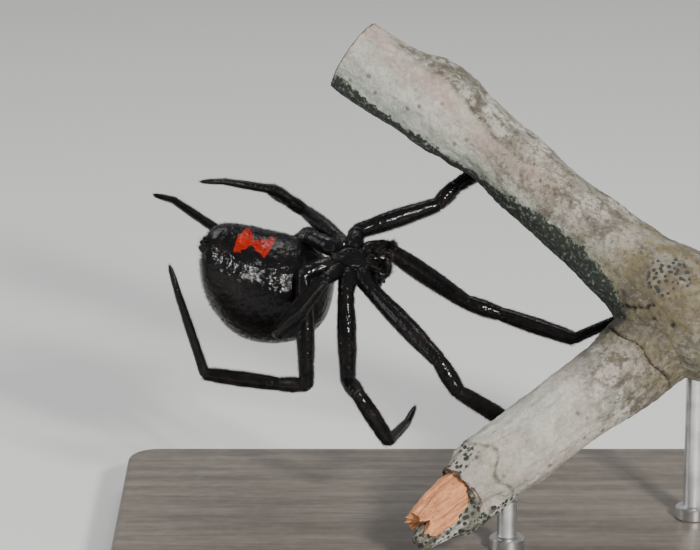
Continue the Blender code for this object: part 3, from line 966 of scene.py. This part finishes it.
DARK_PATCHES = (((11.72, -3.09, 17.70), 0.9, 1.1), ((11.10, -2.20, 15.60), 0.95, 3.0))
BLACK_DOTS = ((14.15, -3.72, 18.82), 1.25)
KNOT_HEIGHT = 0.22
FOLD_DEPTH = 0.12
CRACK_DEPTH, SIDE_CRACK_DEPTH, SIDE_CRACK_STEP = 0.30, 0.06, 0.36
HOLE_DEPTH = 0.26
PEEL_DEPTH = 0.10
VOXEL = 0.115
ROUND_SCALE = 2.4
log_pieces = []
for route, sides, rows in ((BRANCH, 72, 200), (FORK, 64, 160), (BARK_STRIP, 36, 50)):
    rings = curved_rings(route, sides, rows, rounded=0)
    log_pieces.append(shell(rings, (0, 0, 1, 1), AHEAD, turn=Matrix.Identity(4)))
log = linked("log", union(log_pieces, "log"))
even = log.modifiers.new("even", "REMESH")
even.mode, even.voxel_size = "VOXEL", VOXEL
ease = log.modifiers.new("ease", "SMOOTH")
ease.factor, ease.iterations = 0.5, 5
twig_mesh = evaluated(log)
bpy.data.objects.remove(log)
twig_mesh.name = "twig"

TO_CAMERA = np.array((0.0, -math.cos(VIEW_RISE), math.sin(VIEW_RISE)))


def triples(items, name):
    found = np.empty(len(items) * 3, np.float32)
    items.foreach_get(name, found)
    return found.reshape(-1, 3).astype(np.float64)


def lengths(vectors):
    return np.linalg.norm(vectors, axis=1)


spots = triples(twig_mesh.vertices, "co")
normals = triples(twig_mesh.vertex_normals, "vector")


def round_axis(route, rows):
    """For each point of the twig: way along a route, side, face and clearance from its wall."""
    line = curve_through(route, rows)
    axis = np.array([tuple(place) for place, _ in line])
    radius = np.array([r for _, r in line])
    ahead = np.gradient(axis, axis=0)
    ahead /= lengths(ahead)[:, None]
    run = np.concatenate(([0.0], np.cumsum(lengths(np.diff(axis, axis=0)))))
    near = []
    for part in np.array_split(spots, 40):
        near.append(((part[:, None] - axis[None]) ** 2).sum(2).argmin(1))
    near = np.concatenate(near)
    apart = spots - axis[near]
    apart -= ahead[near] * (apart * ahead[near]).sum(1)[:, None]
    lower = np.cross(ahead[near], TO_CAMERA)
    lower /= lengths(lower)[:, None]
    wall = radius[near]
    side, face = (apart * lower).sum(1) / wall, (apart @ TO_CAMERA) / wall
    return run[near], side, face, np.abs(lengths(apart) - wall)


def bell(values, width):
    """One at zero, falling off smoothly on both sides over a width."""
    return np.exp(-((values / width) ** 2))


def ramp(values):
    return np.clip(values, 0, 1)


branch_run, branch_side, branch_face, branch_gap = round_axis(BRANCH, 240)
fork_run, fork_side, fork_face, fork_gap = round_axis(FORK, 200)
strip_gap = round_axis(BARK_STRIP, 80)[3]
on_branch = branch_gap <= np.minimum(fork_gap, strip_gap)
on_strip = (strip_gap < fork_gap) & ~on_branch
on_fork = ~on_branch & ~on_strip
flat_end = np.abs(branch_run - np.where(branch_run > 10, branch_run.max(), 0.0)) < 0.12
run = np.where(on_branch, branch_run, fork_run + 50)
side = np.where(on_branch, branch_side, fork_side) * ROUND_SCALE
face = np.where(on_branch, branch_face, fork_face) * ROUND_SCALE


def rough(scale, stretch=1.0, seed=0.0):
    """Noise at each point, drawn out along the limb."""
    places = zip(run / stretch * scale + seed, side * scale, face * scale)
    return np.array([noise.noise(Vector(place)) for place in places])


lumps, ridges, pits = rough(0.45, 1.6), rough(1.5, 3.5, 20.0), rough(4.5, 1.5, 40.0)
raised = lumps * 0.20 + ridges * 0.11 + pits * 0.06
knot = bell(branch_run - KNOT[0], KNOT[1]) * ramp(-branch_side) ** 2 * on_branch
raised += knot * KNOT_HEIGHT
fold_side = np.interp(branch_run, *zip(*FOLD_LINE)) + lumps * 0.06
fold = bell(branch_side - fold_side, 0.10) * bell(branch_run - 7.0, 4.0) * (branch_face > 0)
raised -= fold * on_branch * FOLD_DEPTH
wander = fork_run + lumps * 0.5 - CRACK_AT + 0.12 * np.sin(fork_side * 7)
crack = bell(wander, 0.09) * on_fork
raised -= crack * CRACK_DEPTH
for number in range(1, 6):
    beside = bell(wander - SIDE_CRACK_STEP * number, 0.07)
    raised -= beside * SIDE_CRACK_DEPTH * on_fork * ramp(fork_side + 0.4)


def apart_from(place):
    return lengths(spots - np.array(place))


opened = np.zeros(len(spots))
for start, end in zip(SHORT_CRACK, SHORT_CRACK[1:]):
    start, edge = np.array(start), np.array(end) - np.array(start)
    share = ramp((spots - start) @ edge / (edge @ edge))
    off = lengths(spots - start - share[:, None] * edge) + pits * 0.15
    opened = np.maximum(opened, bell(off, 0.15))
for place, wide in HOLES:
    opened = np.maximum(opened, bell(apart_from(place), wide))
raised -= opened * HOLE_DEPTH
crack = np.maximum(crack, opened)
to_end = fork_run.max() - fork_run
thinned = ramp((1.6 - to_end + ridges * 1.6) / 0.7) * on_fork
raised -= thinned * (0.20 + 0.35 * ridges)
torn = ramp((0.22 - to_end + ridges * 0.5) / 0.2) * on_fork
peel_edge = 2.3 - to_end + lumps * 0.9 + 0.25 * np.sin(fork_side * 5)
raised -= ramp(peel_edge / 0.12) * on_fork * PEEL_DEPTH
raised *= ~flat_end
spots += normals * raised[:, None]
twig_mesh.vertices.foreach_set("co", (spots * MM).astype(np.float32).ravel())

limit = np.interp(branch_run, *zip(*ALGAE_EDGE))
algae = ramp((branch_side - limit + lumps * 0.15) / 0.22) * on_branch
algae = np.maximum(algae, on_branch * (branch_face < -0.2) * ramp(branch_side + 0.2))
crotch = apart_from(CROTCH)
# Painted shade round the crotch and in the fold's crease; darker too above the fold, in two
# patches, along the peel edge and at the knot.
grime = 0.75 * bell(crotch, 4.2)
for place, wide, amount in DARK_PATCHES:
    grime += amount * bell(apart_from(place), wide)
grime += 0.9 * bell(peel_edge, 0.13) * on_fork
above = ramp((fold_side - branch_side) / 0.15) * bell(branch_run - 6.5, 3.5)
grime += on_branch * (fold * 0.75 + above * 0.55) + knot * 0.3
sheltered = np.interp(branch_run, (0, 9, 13, 27), (1.0, 1.0, 0.4, 0.2))
smooth = ramp((fork_run - 5.5) / 3) * on_fork
smooth += on_branch * (branch_side > fold_side) * sheltered
algae = np.maximum(algae, ramp(1.4 - crotch / 1.1))
fringe = ramp((branch_side - limit + 0.45) / 0.45) * on_branch
broad = ramp((branch_run - 10.0) / 3.0)
rosy = (1 - broad) * 1.1 * bell(branch_side - fold_side - 0.28, 0.32)
rosy += broad * ramp(0.8 - np.abs(branch_side + 0.15))
rosy *= on_branch * np.interp(branch_run, (0, 24, 27), (1.0, 0.9, 0.5))
rosy += on_fork * ramp(0.6 + lumps) * 0.5
# Olive tint, and painted shade on the fork near the crotch and on the branch between runs 8 and
# 24.
olive = ramp(1.5 - (fork_run - 1.5) / 3.2) + ramp((fork_run - 12.5) / 3) * 0.2
olive = bell(branch_run - 24.5, 3.0) * on_branch + on_fork * olive
olive += on_branch * np.interp(branch_run, (8.0, 12.0, 24.0), (0.0, 0.32, 0.40))
dots = on_fork * np.clip((fork_run - 14.5) / 1.5, 0, 0.8) * ramp(fork_side)
dots += 1.4 * bell(apart_from(BLACK_DOTS[0]), BLACK_DOTS[1]) + on_strip
limb = np.stack([run * 0.35, side, face], axis=1)
keep(twig_mesh, "limb", "FLOAT_VECTOR", limb.astype(np.float32).ravel())
BARK_MARKS = (
    "algae", "grime", "smooth", "fringe", "rosy", "olive", "dots", "crack", "torn", "cut", "ring",
)
values = (algae, grime, smooth, fringe, rosy, olive, dots, crack, torn, flat_end)
for name, mark in zip(BARK_MARKS, (*values, np.hypot(branch_side, branch_face))):
    keep(twig_mesh, name, "FLOAT", mark.astype(np.float32))

sockets = {"Place": None, "Across": 4.0}
fibre, fibre_in, fibre_out = new_group("wood fibre", ("Fibre", "Height"), **sockets)
strand = cloudy(fibre_in["Place"], fibre_in["Across"], 5.0, 0.65)
hair_line = cloudy(fibre_in["Place"], times(fibre_in["Across"], 3.1), 2.0)
fibre.links.new(scaled(hair_line, 0.4, times(strand, 0.7)), fibre_out["Fibre"])
fibre.links.new(scaled(hair_line, 0.5, strand), fibre_out["Height"])

dust, dust_in, dust_out = new_group("settled dust", ("Mask",), Place=None, Amount=0.3)
facing = wire(dust, "ShaderNodeNewGeometry").outputs["Normal"]
upward = wire(dust, "ShaderNodeSeparateXYZ", {0: facing}).outputs[2]
patches = eased(cloudy(dust_in["Place"], 1.3, 5.0), 0.42, 0.68)
lying = times(eased(upward, 0.1, 1.0), patches)
dust.links.new(times(lying, dust_in["Amount"]), dust_out["Mask"])

bark, tree, shader, place = new_finish("grey bark")
marks = [stored(tree, name) for name in BARK_MARKS]
algae, grime, smooth, fringe, rosy, olive, dots, crack, torn, cut_off, ring = marks
limb = stored(tree, "limb", "Vector")
mottle = cloudy(place, 0.55, 5.0, 0.6)
speck = cloudy(place, 3.8, 6.0, 0.7)
streak = cloudy(limb, 1.5, 6.0, 0.66)
clear = scaled(smooth, -0.75, 1.0)
pale = maths("MAXIMUM", eased(mottle, 0.42, 0.58), times(smooth, 0.8))
fringe = times(fringe, eased(cloudy(place, 1.2, 5.0, 0.6), 0.35, 0.6, 0.35, 0.8))
pink = times(rosy, eased(cloudy(limb, 0.9, 6.0, 0.62), 0.30, 0.58))
olive = times(olive, eased(streak, 0.35, 0.6, 0.45, 1.0))
stain = eased(cloudy(place, 0.8, 7.0, 0.74), 0.49, 0.58, 0.0, 0.88)
grime = times(grime, eased(cloudy(place, 1.6, 6.0, 0.7), 0.36, 0.60, 0.25, 1.0))
flaked = times(eased(speck, 0.56, 0.70, 0.0, 0.60), scaled(olive, -0.75, 1.0))
growth_edge = maths("ADD", algae, scaled(cloudy(place, 2.4, 6.0, 0.7), 2.6, -1.35))
mat = times(eased(growth_edge, 0.30, 0.55), eased(algae, 0.0, 0.25))
green = eased(cloudy(place, 4.0, 3.0), 0.52, 0.68)
green = tinted(green, (0.010, 0.012, 0.008), (0.10, 0.13, 0.10))
black_dots = times(eased(dotted(place, 3.0), 0.43, 0.39), eased(dots, 0.25, 0.5))
rings = maths("SINE", scaled(mottle, 14.0, times(ring, 64.0)))
sawn = tinted(eased(rings, -1.0, 1.0), (0.50, 0.37, 0.235), (0.43, 0.305, 0.185))
sawn = tinted(eased(speck, 0.40, 0.62, 0.0, 0.45), sawn, (0.34, 0.22, 0.12))
sawn = tinted(eased(ring, 0.10, 0.04), sawn, (0.13, 0.075, 0.04))
sawn = tinted(eased(ring, 0.86, 0.93), sawn, (0.10, 0.065, 0.04))
bare = maths("MAXIMUM", maths("MAXIMUM", black_dots, mat), maths("MINIMUM", grime, 1.0))
dusted = use_group(tree, dust, Place=place, Amount=scaled(bare, -0.25, 0.25))["Mask"]
colour = tinted(pale, (0.135, 0.142, 0.108), (0.43, 0.42, 0.365))
for share, tone in (
    (fringe, (0.255, 0.305, 0.262)),
    (pink, (0.335, 0.240, 0.205)),
    # Olive tint, with painted shade near the crotch and along the branch.
    (olive, (0.125, 0.100, 0.048)),
    (times(stain, clear), (0.080, 0.060, 0.040)),
    # Painted shade and grime, in two steps, near black where strongest.
    (maths("MINIMUM", grime, 0.85), (0.070, 0.058, 0.032)),
    (eased(grime, 0.8, 1.5, 0.0, 0.9), (0.020, 0.018, 0.012)),
    (times(eased(streak, 0.38, 0.50, 0.75, 0.0), clear), (0.070, 0.058, 0.042)),
    (times(eased(speck, 0.38, 0.48, 0.80, 0.0), clear), (0.040, 0.034, 0.026)),
    (eased(dotted(place, 0.8), 0.17, 0.08, 0.0, 0.75), (0.105, 0.078, 0.052)),
    (flaked, (0.56, 0.53, 0.47)),
    (mat, green),
    (black_dots, (0.02, 0.022, 0.018)),
    # Painted shade: the cracks and holes are coloured near black inside.
    (eased(crack, 0.3, 0.8), (0.018, 0.014, 0.010)),
    (eased(torn, 0.4, 0.9, 0.0, 0.85), (0.085, 0.034, 0.016)),
    (eased(cut_off, 0.4, 0.6), sawn),
    (dusted, (0.55, 0.53, 0.49)),
):
    colour = tinted(share, colour, tone)
relief = scaled(cloudy(place, 9.0, 4.0, 0.65), 0.35, maths("ADD", speck, streak))
finish_with(shader, colour, scaled(speck, 0.25, 0.62), bumped(relief, 1.0, 0.13))

twig_mesh.shade_smooth()
twig_mesh.materials.clear()
twig_mesh.materials.append(bark)
twig = linked("twig", twig_mesh)
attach(twig, "root")
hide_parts("perch_branch", "perch_fork")

# Torn wood: where the fork was broken off, fresh orange-brown wood stands out of the bark in long
# fibres with a ragged, splintered end.
TORN_WOOD = (
    ((2.2, -8.4, 7.0), 1.55), ((1.0, -9.15, 6.5), 1.50), ((0.1, -9.85, 6.0), 1.38),
    ((-0.7, -10.35, 5.4), 1.22), ((-1.3, -10.8, 4.95), 1.10),
)
SPLINTER_LENGTH = 0.6
TORN_SIDES = 84
TORN_ROWS = 60


def round_noise(turn, scale, height):
    return noise.noise(Vector((math.cos(turn) * scale, math.sin(turn) * scale, height)))


rings = curved_rings(TORN_WOOD, TORN_SIDES, TORN_ROWS, rounded=0)
ahead = (Vector(TORN_WOOD[-1][0]) - Vector(TORN_WOOD[0][0])).normalized()
for row, ring in enumerate(rings):
    middle = middle_of(ring)
    share = row / TORN_ROWS
    for i, spot in enumerate(ring):
        turn = 2 * math.pi * i / TORN_SIDES
        cleft = abs(round_noise(turn, 3.2, share * 0.8))
        facet = 0.07 * math.cos(3 * turn + 0.6) + 0.05 * math.cos(5 * turn)
        torn_back = round_noise(turn, 2.6, 7.0) + 0.4 * round_noise(turn, 9, 3.0)
        spot += (spot - middle) * (facet - 0.22 * cleft - 0.05)
        late = max(share - 0.45, 0.0) ** 1.5
        spot -= ahead * (0.45 + torn_back) * SPLINTER_LENGTH * late * 2.2
wood = bmesh.new()
close_rings(wood, rings, middle_of(rings[0]), middle_of(rings[-1]) - ahead * 0.5)
heartwood, tree, shader, place = new_finish("torn wood")
grain_turn = (0.0, math.radians(-25.8), math.radians(34.4))
lined = {"Vector": place, "Rotation": grain_turn, "Scale": (6.0, 1.0, 1.0)}
lined = wire(tree, "ShaderNodeMapping", lined, vector_type="TEXTURE").outputs[0]
torn_fibre = use_group(tree, fibre, Place=lined, Across=5.0)
strands = torn_fibre["Fibre"]
colour = tinted(eased(strands, 0.36, 0.72), (0.27, 0.086, 0.029), (0.62, 0.275, 0.118))
aged = eased(cloudy(place, 1.7, 5.0), 0.55, 0.72, 0.0, 0.6)
dirty = eased(cloudy(place, 3.1, 5.0, 0.7), 0.62, 0.72, 0.0, 0.8)
colour = tinted(dirty, tinted(aged, colour, (0.36, 0.12, 0.045)), (0.07, 0.04, 0.025))
torn_relief = bumped(torn_fibre["Height"], 1.0, 0.08)
finish_with(shader, colour, scaled(strands, 0.2, 0.62), torn_relief)
stub = placed(wood, "torn_wood", heartwood, in_metres, 45)
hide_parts("perch_torn_wood")

# Display base: a small maple block, planed flat, its corners and top edge rounded, stained
# grey-brown and oiled. It is the floor that the two rods stand on.
BASE_SIZE = (40.0, 26.0, 2.5)
BASE_CORNER = 2.0
BASE_EDGE = 0.4
BASE_CHAMFER = 0.12
block = bmesh.new()
profile = [(0.0, BASE_CHAMFER), (BASE_CHAMFER, 0.0)]
for number in range(9):
    turn = math.pi / 2 * number / 8
    height = BASE_SIZE[2] - BASE_EDGE + BASE_EDGE * math.sin(turn)
    profile.append((height, BASE_EDGE * (1 - math.cos(turn))))
rings = []
for z, inset in profile:
    ring = []
    for sx, sy, start in ((1, 1, 0), (-1, 1, 90), (-1, -1, 180), (1, -1, 270)):
        for number in range(13):
            turn = math.radians(start + 7.5 * number)
            x = sx * (BASE_SIZE[0] / 2 - BASE_CORNER) + (BASE_CORNER - inset) * math.cos(turn)
            y = sy * (BASE_SIZE[1] / 2 - BASE_CORNER) + (BASE_CORNER - inset) * math.sin(turn)
            ring.append((x, y, z))
    rings.append(ring)
close_rings(block, rings, (0, 0, 0), (0, 0, BASE_SIZE[2]))
maple, tree, shader, place = new_finish("stained maple")
lined = drawn_out(place, Location=(0.0, 3.0, 14.0), Scale=(0.07, 1.0, 1.0))
maple_fibre = use_group(tree, fibre, Place=lined, Across=1.6)
strands = maple_fibre["Fibre"]
sockets = {"Scale": 0.32, "Distortion": 3.5, "Detail": 3.0, "Detail Scale": 1.2}
rings_of_growth = {"wave_type": "RINGS", "rings_direction": "X"}
bands = wire(tree, "ShaderNodeTexWave", {"Vector": lined, **sockets}, **rings_of_growth).outputs[1]
colour = tinted(eased(strands, 0.35, 0.75), (0.085, 0.070, 0.056), (0.165, 0.140, 0.115))
colour = tinted(times(bands, 0.35), colour, (0.060, 0.048, 0.038))
dusted = use_group(tree, dust, Place=place, Amount=0.06)["Mask"]
colour = tinted(dusted, colour, (0.40, 0.38, 0.35))
maple_relief = bumped(maple_fibre["Height"], 0.35, 0.03)
finish_with(shader, colour, scaled(strands, 0.18, 0.34), maple_relief)
base = placed(block, "display_base", maple, in_metres, 30)
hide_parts("stand_base")

# Rods: two turned steel pins with a flat foot, pressed against the base and the underside of the
# twig, brushed along their length.
ROD_RADIUS = 0.6
ROD_FOOT = BASE_SIZE[2]
ROD_PLACES = {"stand_rod_trunk": (16.2, -1.4, 11.3), "stand_rod_fork": (4.3, -7.2, 5.2)}
ROD_SIDES = 48
steel, tree, shader, place = new_finish("brushed steel")
lined = drawn_out(place, Scale=(1.0, 1.0, 0.05))
brushed = cloudy(lined, 22.0, 3.0, 0.7)
tarnish = cloudy(place, 0.8, 4.0)
colour = tinted(eased(tarnish, 0.4, 0.7), (0.66, 0.66, 0.65), (0.50, 0.49, 0.47))
finish_with(shader, colour, scaled(brushed, 0.30, 0.16), bumped(brushed, 0.4, 0.008))
shader.inputs["Metallic"].default_value = 1.0
FOOT_RADIUS = ROD_RADIUS * 1.8
FOOT_EDGE = 0.08
FOOT_PROFILE = (
    (0.0, FOOT_RADIUS - FOOT_EDGE),
    (FOOT_EDGE, FOOT_RADIUS),
    (0.70, FOOT_RADIUS),
    (0.78, FOOT_RADIUS - FOOT_EDGE),
    (0.80, ROD_RADIUS + 0.12),
    (0.86, ROD_RADIUS + 0.03),
    (1.0, ROD_RADIUS),
)
for node, (x, y, top) in ROD_PLACES.items():
    profile = [(ROD_FOOT + height, radius) for height, radius in FOOT_PROFILE]
    profile += [(top, ROD_RADIUS), (top + 0.4, ROD_RADIUS), (top + 0.5, ROD_RADIUS - 0.1)]
    axes = Vector((1, 0, 0)), Vector((0, 1, 0))
    rings = [circle(Vector((x, y, z)), *axes, radius, ROD_SIDES) for z, radius in profile]
    rod = bmesh.new()
    close_rings(rod, rings, (x, y, ROD_FOOT), (x, y, profile[-1][0]))
    made = placed(rod, node.replace("stand_", ""), steel, in_metres)
    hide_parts(node)

bpy.context.view_layer.update()
